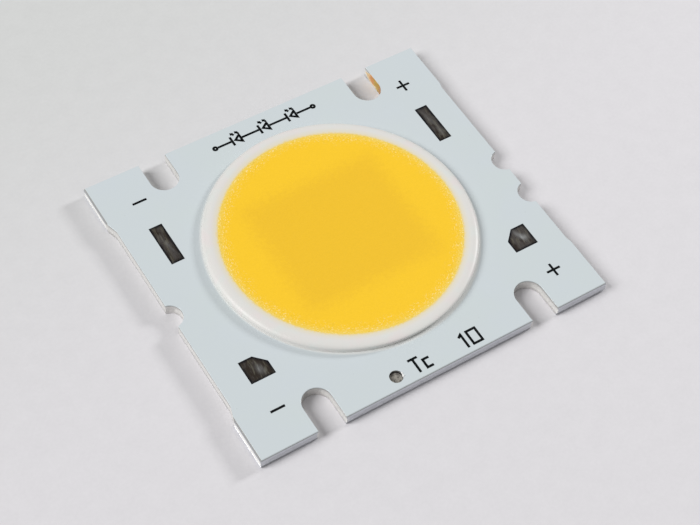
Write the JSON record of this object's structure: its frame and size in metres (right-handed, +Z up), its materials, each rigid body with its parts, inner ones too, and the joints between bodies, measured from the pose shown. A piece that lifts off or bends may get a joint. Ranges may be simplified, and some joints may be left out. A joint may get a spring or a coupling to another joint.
{
  "type": "chip-on-board led array",
  "caption": "Flat square LED array on a slotted metal-core board: round yellow gel in a raised white dam, with bare solder pads and polarity signs for lead wires.",
  "frame": {"origin": "middle of the board's underside", "axes": "+X along the front edge from the minus side to the plus side, +Y from the front edge to the back edge, +Z up, out of the lit face"},
  "size_m": [0.0446, 0.0402, 0.0026],
  "materials": {
    "core_aluminium": "rolled faces, scored and punched edges",
    "dielectric": "filled epoxy, matte",
    "copper": "etched foil, satin",
    "white_mask": "cold white solder mask, half gloss",
    "tin": "levelled tin, bright",
    "white_silicone": "white silicone, smooth",
    "phosphor_silicone": "yellow phosphor in silicone, satin",
    "die": "sapphire, polished",
    "glue": "clear silicone die glue",
    "gold_wire": "drawn gold wire"
  },
  "bodies": {
    "root": {"base_plate": "core_aluminium", "dielectric_layer": "dielectric", "minus_copper": "copper", "plus_copper": "copper", "solder_mask": "white_mask", "minus_pad_back": "tin", "minus_pad_front": "tin", "plus_pad_back": "tin", "plus_pad_front": "tin", "dam_ring": "white_silicone", "phosphor_gel": "phosphor_silicone", "led_dies": "die", "die_glue": "glue", "bond_wires": "gold_wire"}
  },
  "joints": []
}
